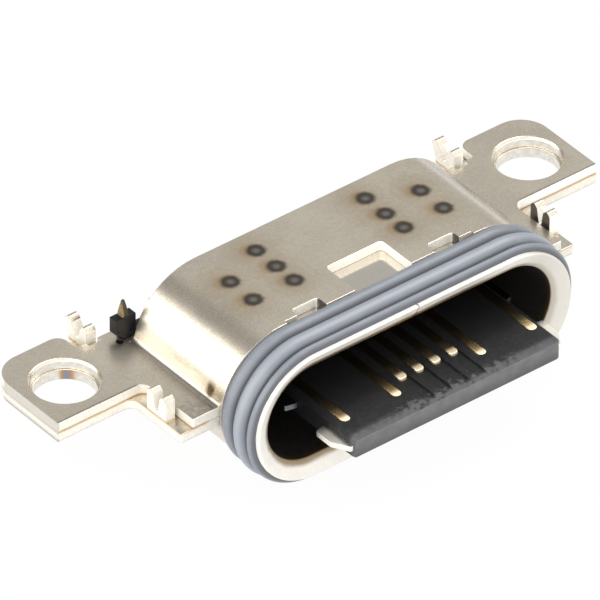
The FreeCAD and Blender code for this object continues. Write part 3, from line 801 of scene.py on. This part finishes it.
class SocketFinish(bpy.types.PropertyGroup):
    """Colours and gloss of the finishes."""

    cover_colour: bpy.props.FloatVectorProperty(
        name="Sheet colour", description="Colour of the satin sheets", subtype="COLOR",
        default=(0.78, 0.715, 0.605), min=0.0, max=1.0)
    cover_roughness: bpy.props.FloatProperty(
        name="Sheet roughness", description="Roughness of the satin sheets", subtype="FACTOR",
        default=0.25, min=0.05, max=1.0)
    edge_colour: bpy.props.FloatVectorProperty(
        name="Edge colour", description="Colour of the cut edges and the rim", subtype="COLOR",
        default=(0.90, 0.86, 0.78), min=0.0, max=1.0)
    # Brown of the heat tint beside the weld spots, which also serves for the painted brown
    # reflection under the top of the rim.
    heat_tint_and_reflection_colour: bpy.props.FloatVectorProperty(
        name="Heat tint", description="Brown tint beside the weld spots", subtype="COLOR",
        default=(0.54, 0.40, 0.235), min=0.0, max=1.0)
    weld_colour: bpy.props.FloatVectorProperty(
        name="Weld ring", description="Dark ring of a weld spot", subtype="COLOR",
        default=(0.052, 0.045, 0.043), min=0.0, max=1.0)
    # Grey of the weld cores, which also serves for the painted shade on the sheets and their edges
    # and for the flange's dark mottling.
    weld_core_and_shade: bpy.props.FloatVectorProperty(
        name="Weld core", description="Grey middle of a weld spot", subtype="COLOR",
        default=(0.21, 0.205, 0.20), min=0.0, max=1.0)
    # Brown of the mark on the left wall and of the peg's spike, which also serves for the painted
    # brown reflection on the rim and the spike's painted shade.
    mark_and_painted_light_colour: bpy.props.FloatVectorProperty(
        name="Wall mark", description="Brown mark on the left wall", subtype="COLOR",
        default=(0.28, 0.21, 0.11), min=0.0, max=1.0)
    shell_colour: bpy.props.FloatVectorProperty(
        name="Shell colour", description="Colour of the rolled shell", subtype="COLOR",
        default=(0.80, 0.76, 0.69), min=0.0, max=1.0)
    shell_roughness: bpy.props.FloatProperty(
        name="Shell roughness", description="Roughness of the rolled shell", subtype="FACTOR",
        default=0.13, min=0.05, max=1.0)
    # Colour of the painted shade on the inside wall of the shell and the dark walls of the sheets.
    inside_shade_colour: bpy.props.FloatVectorProperty(
        name="Inside colour", description="Colour of the inner wall of the shell", subtype="COLOR",
        default=(0.20, 0.185, 0.175), min=0.0, max=1.0)
    seal_colour: bpy.props.FloatVectorProperty(
        name="Seal colour", description="Colour of the silicone ring", subtype="COLOR",
        default=(0.178, 0.194, 0.226), min=0.0, max=1.0)
    plastic_colour: bpy.props.FloatVectorProperty(
        name="Plastic colour", description="Colour of the moulded tongue", subtype="COLOR",
        default=(0.011, 0.011, 0.012), min=0.0, max=1.0)
    # Grey of the rubbed band on top of the tongue, and of its front face, where it stands for
    # painted light.
    worn_and_lit_tip_colour: bpy.props.FloatVectorProperty(
        name="Tip colour", description="Colour of the rubbed front face of the tongue",
        subtype="COLOR", default=(0.13, 0.13, 0.135), min=0.0, max=1.0)
    gold_colour: bpy.props.FloatVectorProperty(
        name="Contact colour", description="Colour of the plated contacts", subtype="COLOR",
        default=(0.97, 0.79, 0.50), min=0.0, max=1.0)


class SocketStage(bpy.types.PropertyGroup):
    """Camera, lamps and floor."""

    azimuth: bpy.props.FloatProperty(
        name="Azimuth", description="Camera's turn about the upright axis", subtype="ANGLE",
        default=math.radians(-38.588))
    elevation: bpy.props.FloatProperty(
        name="Elevation", description="Camera's height over the horizon", subtype="ANGLE",
        default=math.radians(37.461))
    roll: bpy.props.FloatProperty(
        name="Roll", description="Camera's turn about its own line of sight", subtype="ANGLE",
        default=math.radians(0.141))
    distance: bpy.props.FloatProperty(
        name="Distance", description="Camera's distance", unit="LENGTH", default=326.35 * MM)
    across: bpy.props.FloatProperty(
        name="Across", description="Camera's shift to the right", unit="LENGTH",
        default=-3.597 * MM)
    upward: bpy.props.FloatProperty(
        name="Upward", description="Camera's shift upwards", unit="LENGTH", default=2.255 * MM)
    aim_front: bpy.props.FloatProperty(
        name="Aim", description="Point aimed at, in front of the rim", unit="LENGTH",
        default=1.5 * MM)
    lens: bpy.props.FloatProperty(
        name="Lens", description="Focal length in millimetres", default=855.6, min=50.0)
    room_light: bpy.props.FloatProperty(
        name="Room light", description="Strength of the light from above and behind",
        default=0.56, min=0.0)
    side_light: bpy.props.FloatProperty(
        name="Side light", description="Strength of the light from the left side",
        default=2.5, min=0.0)
    front_light: bpy.props.FloatProperty(
        name="Front light", description="Strength of the light from in front",
        default=1.35, min=0.0)
    low_light: bpy.props.FloatProperty(
        name="Low light", description="Strength of the light near the horizon",
        default=1.1, min=0.0)
    gap_share: bpy.props.FloatProperty(
        name="Dark gap", description="Part taken off the room light between left and top",
        subtype="FACTOR", default=0.35, min=0.0, max=1.0)
    front_lamp: bpy.props.FloatProperty(
        name="Front lamp", description="Power of the lamp in front", unit="POWER",
        default=0.03, min=0.0)
    top_lamp: bpy.props.FloatProperty(
        name="Top lamp", description="Power of the lamp over the right end", unit="POWER",
        default=0.085, min=0.0)


# Stage
def aim_camera(stage):
    """Camera where the photograph was taken from."""
    a, e = stage.azimuth, stage.elevation
    back = Vector((math.sin(a) * math.cos(e), -math.cos(a) * math.cos(e), math.sin(e)))
    level = Vector((math.cos(a), math.sin(a), 0.0))
    upright = back.cross(level)
    right = level * math.cos(stage.roll) + upright * math.sin(stage.roll)
    up = upright * math.cos(stage.roll) - level * math.sin(stage.roll)
    spot = right * stage.across + up * stage.upward + back * stage.distance
    spot.y -= stage.aim_front
    bpy.ops.object.camera_add()
    camera = bpy.context.object
    camera.name = "photo_camera"
    camera.data.lens = stage.lens
    camera.data.sensor_width = 36.0
    camera.data.clip_start = 0.01
    camera.data.clip_end = 5.0
    camera.rotation_mode = "QUATERNION"
    turn = Matrix((right, up, back)).transposed()
    camera.rotation_quaternion = turn.to_quaternion()
    camera.location = spot
    bpy.context.scene.camera = camera


def lay_floor():
    """Pale floor that shows white to the lens and keeps the object's shadow."""
    side = 1.2
    bpy.ops.mesh.primitive_plane_add(size=side, location=(0, 0, FLOOR_Z * MM))
    floor = bpy.context.object
    floor.name = "floor"
    made = Finish("white_floor", (0.85, 0.85, 0.85), 0.0, 0.9)
    white = made.rays("Is Camera Ray") * 0.96
    for kind in ("Is Glossy Ray", "Is Transmission Ray"):
        white = white.high_of(made.rays(kind) * 0.95)
    glow = made.node("ShaderNodeEmission", None, Color=(1, 1, 1, 1), Strength=1.0)
    blend = made.node("ShaderNodeMixShader", None, _0=white, _1=made.shader.outputs[0],
                      _2=glow.outputs[0])
    feed(made.tree, made.tree.nodes["Material Output"].inputs["Surface"], blend.outputs[0])
    floor.data.materials.append(made.material)


def light_room(stage):
    """Studio bright on the left and in front, dimmer up behind the object, white to the lens."""
    world = bpy.data.worlds.new("room")
    bpy.context.scene.world = world
    world.use_nodes = True
    made = Nodes(world.node_tree)
    x, y, z = made.axes(made.node("ShaderNodeTexCoord").outputs["Generated"])
    left = made.step(x, -0.45, -0.55)
    front = made.step(y, 0.15, -0.25)
    level = made.step(z, 0.30, 0.08) * made.step(y, 0.45, 0.15)
    gap = made.step(x, 0.02, -0.14) * (1 - front) * (1 - level)
    strength = (1 - gap * stage.gap_share) * stage.room_light
    for share, light in ((level, stage.low_light), (front, stage.front_light),
                         (left, stage.side_light)):
        strength = strength * (1 - share) + share * light
    room = made.tree.nodes["Background"]
    room.inputs["Color"].default_value = (1.0, 0.985, 0.955, 1)
    feed(made.tree, room.inputs["Strength"], strength)
    white = made.node("ShaderNodeBackground", None, Color=(1, 1, 1, 1))
    blend = made.node("ShaderNodeMixShader", None, _0=made.rays("Is Camera Ray"),
                      _1=room.outputs[0], _2=white.outputs[0])
    feed(made.tree, made.tree.nodes["World Output"].inputs["Surface"], blend.outputs[0])


def hang_lamp(name, place, size, power):
    """Soft square lamp at a place in metres, facing the object."""
    bpy.ops.object.light_add(type="AREA", location=place)
    lamp = bpy.context.object
    lamp.name = name
    lamp.data.size = size
    lamp.data.energy = power
    lamp.rotation_euler = (-Vector(place)).to_track_quat("-Z", "Y").to_euler()


# Places of finishes
def is_steep(face, most=0.45):
    """Face that stands up, the height of its normal being less than a part of it."""
    return abs(face.normal.z) < most


def is_cut_edge(face):
    """Cut edge of a folded sheet."""
    outside = abs(face.center.x) > FLANGE_X and abs(face.center.z) < SHEET + 0.01
    return abs(face.normal.y) > 0.72 or (outside and is_steep(face))


def is_bore(face):
    """Wall of a screw hole."""
    gap = math.hypot(abs(face.center.x) - HOLE_X, face.center.y - HOLE_Y)
    return gap < BORE_REACH and is_steep(face)


def is_window_corner(middle):
    """Inner corner of the window or of a small notch in the cover's front edge."""
    inside = abs(middle.x) < WINDOW_X and COVER_FRONT + 0.1 < middle.y < WINDOW_BACK
    return inside and middle.z > SHELL_R - 0.05


def is_window_wall(face):
    """Wall of the window or of a small notch in the cover, which gets painted light."""
    inside = abs(face.center.x) < WINDOW_X and COVER_FRONT + 0.02 < face.center.y < WINDOW_BACK
    return inside and face.center.z > SHELL_R + 0.01 and is_steep(face, 0.4)


def is_dark_wall(face):
    """Wall of the small pilot hole, or side wall of a small notch in the cover, which get painted
    shade.
    """
    if math.hypot(face.center.x - PILOT[0], face.center.y - PILOT[1]) < PILOT_REACH:
        return is_steep(face, 0.95)
    notch = 1.4 < abs(face.center.x) < WINDOW_X and face.center.y < COVER_FRONT + 0.4
    return notch and face.center.z > SHELL_R and abs(face.normal.x) > 0.75


def is_leg_side(face):
    """Inner side of the right front leg, which looks at the dark flank of the shell and gets its
    painted dark reflection.
    """
    on_leg = all(start < place < end for place, (start, end)
                 in zip(face.center, (RIGHT_LEG_X, RIGHT_LEG_Y)))
    return on_leg and face.center.z > 0.02 and face.normal.x < -0.8


def is_rim(face):
    """Flared rim of the shell."""
    return face.center.y < RIM_DEPTH


def is_inside(face):
    """Inner wall of the shell behind its rim, which gets painted shade."""
    out = max(0.0, abs(face.center.x) - END_X)
    return face.center.y > RIM_DEPTH and math.hypot(out, face.center.z) < MOUTH_R + 0.06


def is_tongue_front(face):
    """Front face of the tongue, which gets painted light."""
    return face.center.y < TONGUE_TIP + 0.04 and face.normal.y < -0.75


def is_spike(face):
    """Bare tip of the peg."""
    return face.center.z > SPIKE_ROOT and face.center.x < 0


# Operators
def widen_window(piece, shift):
    """Moves the right side of the cover's window outwards."""
    def is_right_side(vertex):
        """Point of the window's right side."""
        x, y, z = vertex.co
        return 0.5 < x < 1.0 and COVER_FRONT - 0.1 < y < WINDOW_BACK - 0.2 and z > SHELL_R - 0.1

    take(piece)
    bpy.ops.object.mode_set(mode="EDIT")
    pick(piece, is_right_side)
    bpy.ops.transform.translate(value=(shift, 0, 0))
    bpy.ops.object.mode_set(mode="OBJECT")


def cut_seam(piece, place, gap):
    """Cuts the seam through the upper part of the rim, from in front of it to 0.9 mm behind."""
    middle_z, length_y, height_z = 1.5, 1.8, 1.2
    fresh()
    bpy.ops.mesh.primitive_cube_add(size=1, location=(place, 0, middle_z))
    slit = bpy.context.object
    slit.scale = (gap, length_y, height_z)
    bpy.ops.object.transform_apply(location=True, rotation=True, scale=True)
    apply_modifier(piece, "BOOLEAN", operation="DIFFERENCE", object=slit, solver="EXACT")
    bpy.data.objects.remove(slit)


def flatten_nose(piece, front, side, dip):
    """Brings the dipped nose of a contact up towards the level of its run."""
    length, depth = 0.165, 0.10
    take(piece)
    bpy.ops.object.mode_set(mode="EDIT")
    pick(piece, lambda v: v.co.y < front + length and v.co.z * side > CONTACT_TOP - depth)
    bpy.ops.transform.resize(value=(1, 1, dip), center_override=(0, 0, side * CONTACT_TOP))
    bpy.ops.object.mode_set(mode="OBJECT")


class SOCKET_OT_sheets(bpy.types.Operator):
    """Makes the cover and the lower bracket with softened edges"""

    bl_idname = "socket.sheets"
    bl_label = "Folded sheets"

    def execute(self, context):
        finish, shape = context.scene.socket_finish, context.scene.socket_shape
        steels = [satin_steel(finish), cut_steel(finish), bore_steel(finish), painted_shade_steel(finish),
                  painted_light_window_steel()]
        for node, name in (("cover_sheet", "cover"), ("lower_bracket", "bracket")):
            piece = fine_copy(node, name)
            if node == "cover_sheet":
                widen_window(piece, shape.window_shift / MM)
            round_upright(piece, is_window_corner, shape.window_corner / MM)
            soften(piece, shape.sheet_edge / MM)
            # The window walls get painted light; the pilot hole and the notches' side walls get
            # painted shade, and the right leg's inner side a painted dark reflection.
            for place, test in ((CUT, is_cut_edge), (BORE, is_bore), (WALL, is_window_wall),
                                (DARK, is_dark_wall), (DARK, is_leg_side)):
                paint_faces(piece, place, test)
            settle(piece, steels, node)
        return {"FINISHED"}


class SOCKET_OT_shell(bpy.types.Operator):
    """Makes the rolled shell with its flared rim and seam, and the plates of the tongue"""

    bl_idname = "socket.shell"
    bl_label = "Rolled shell"

    def execute(self, context):
        finish, shape = context.scene.socket_finish, context.scene.socket_shape
        piece = port_loft("rolled_shell", SHELL_PROFILE)
        cut_seam(piece, shape.seam_place / MM, shape.seam_gap / MM)
        paint_faces(piece, RIM, is_rim)
        # The inside wall gets painted shade.
        paint_faces(piece, INSIDE, is_inside)
        steels = [bright_steel(finish), rim_steel(finish), painted_shade_steel(finish)]
        settle(piece, steels, "inner_shell")
        plates = [plate_steel(finish)]
        for node, name in (("mid_plate", "latch_plate"), ("shield_plate_upper", "upper_shield"),
                           ("shield_plate_lower", "lower_shield")):
            plate = fine_copy(node, name)
            soften(plate, shape.plate_edge / MM)
            settle(plate, plates, node)
        return {"FINISHED"}


class SOCKET_OT_seal(bpy.types.Operator):
    """Makes the sealing ring with its three round ribs"""

    bl_idname = "socket.seal"
    bl_label = "Sealing ring"

    def execute(self, context):
        finish, shape = context.scene.socket_finish, context.scene.socket_shape
        foot = SEAL_R - shape.groove_depth / MM
        feet = [(SEAL_FRONT, SEAL_LIP_R)] + [(y, foot) for y in (*GROOVES, SEAL_BACK)]
        profile = feet[:1]
        for start, end, rise, steps in zip(feet, feet[1:], shape.rib_rise, RIB_STEPS):
            profile += arc_points(start, end, rise / MM, steps)
        bore = SHELL_R + 0.01
        profile += [(SEAL_BACK, bore), (0.20, bore), (SEAL_FRONT, RIM_R)]
        piece = port_loft("seal", profile)
        settle(piece, [grey_silicone(finish)], "seal_ring")
        return {"FINISHED"}


class SOCKET_OT_tongue(bpy.types.Operator):
    """Makes the moulded tongue with its block and peg"""

    bl_idname = "socket.tongue"
    bl_label = "Tongue"

    def execute(self, context):
        finish, shape = context.scene.socket_finish, context.scene.socket_shape
        piece = fine_copy("insulator", "tongue")
        soften(piece, shape.tongue_edge / MM)
        # The front face gets painted light, and the spike painted shade on its right side.
        paint_faces(piece, LIT_FRONT, is_tongue_front)
        paint_faces(piece, SHADED_SPIKE, is_spike)
        plastics = [black_moulding(finish), lit_front_moulding(finish), brown_spike_shaded(finish)]
        settle(piece, plastics, "insulator")
        return {"FINISHED"}


class SOCKET_OT_contacts(bpy.types.Operator):
    """Makes the sixteen plated contacts with their rounded noses"""

    bl_idname = "socket.contacts"
    bl_label = "Contacts"

    def execute(self, context):
        finish, shape = context.scene.socket_finish, context.scene.socket_shape
        plated = {}
        for node in CONTACT_NODES:
            piece = fine_copy(node, node.replace("contact", "pin"))
            side = 1 if node.startswith("contact_a") else -1
            front = low(node, 1)
            flatten_nose(piece, front, side, shape.nose_dip)
            round_upright(piece, lambda middle: middle.y < front + 0.01, shape.contact_nose / MM)
            soften(piece, shape.contact_edge / MM, segments=3, limit=30)
            length = "gold_long" if front < LONG_CONTACT else "gold_short"
            if length not in plated:
                plated[length] = gold_plating(finish, length, front)
            settle(piece, [plated[length]], node)
        return {"FINISHED"}


class SOCKET_OT_stage(bpy.types.Operator):
    """Sets the camera, the lamps and the floor"""

    bl_idname = "socket.stage"
    bl_label = "Stage"

    def execute(self, context):
        stage = context.scene.socket_stage
        aim_camera(stage)
        lay_floor()
        light_room(stage)
        hang_lamp("front_box", (-0.06, -0.12, 0.05), 0.07, stage.front_lamp)
        hang_lamp("top_box", (0.074, 0.012, 0.126), 0.085, stage.top_lamp)
        return {"FINISHED"}


STEPS = (SOCKET_OT_sheets, SOCKET_OT_shell, SOCKET_OT_seal, SOCKET_OT_tongue,
         SOCKET_OT_contacts, SOCKET_OT_stage)


class SOCKET_PT_panel(bpy.types.Panel):
    """Lists the sizes and colours of the socket, and the steps that make it"""

    bl_label = "Usb-c socket"
    bl_idname = "SOCKET_PT_panel"
    bl_space_type = "VIEW_3D"
    bl_region_type = "UI"
    bl_category = "Socket"

    def draw(self, context):
        scene = context.scene
        for group in (scene.socket_shape, scene.socket_finish, scene.socket_stage):
            for name in group.bl_rna.properties.keys():
                if name not in ("rna_type", "name"):
                    self.layout.prop(group, name)
        for step in STEPS:
            self.layout.operator(step.bl_idname)


CLASSES = (SocketShape, SocketFinish, SocketStage) + STEPS + (SOCKET_PT_panel,)


def register():
    """Registers the classes and their properties."""
    for cls in CLASSES:
        bpy.utils.register_class(cls)
    bpy.types.Scene.socket_shape = bpy.props.PointerProperty(type=SocketShape)
    bpy.types.Scene.socket_finish = bpy.props.PointerProperty(type=SocketFinish)
    bpy.types.Scene.socket_stage = bpy.props.PointerProperty(type=SocketStage)


def unregister():
    """Takes the classes and their properties away again."""
    del bpy.types.Scene.socket_stage
    del bpy.types.Scene.socket_finish
    del bpy.types.Scene.socket_shape
    for cls in reversed(CLASSES):
        bpy.utils.unregister_class(cls)


def main():
    """Makes the whole socket and its stage."""
    register()
    bpy.context.scene.view_settings.view_transform = "Standard"
    for step in STEPS:
        group, name = step.bl_idname.split(".")
        getattr(getattr(bpy.ops, group), name)()


if __name__ == "__main__":
    main()
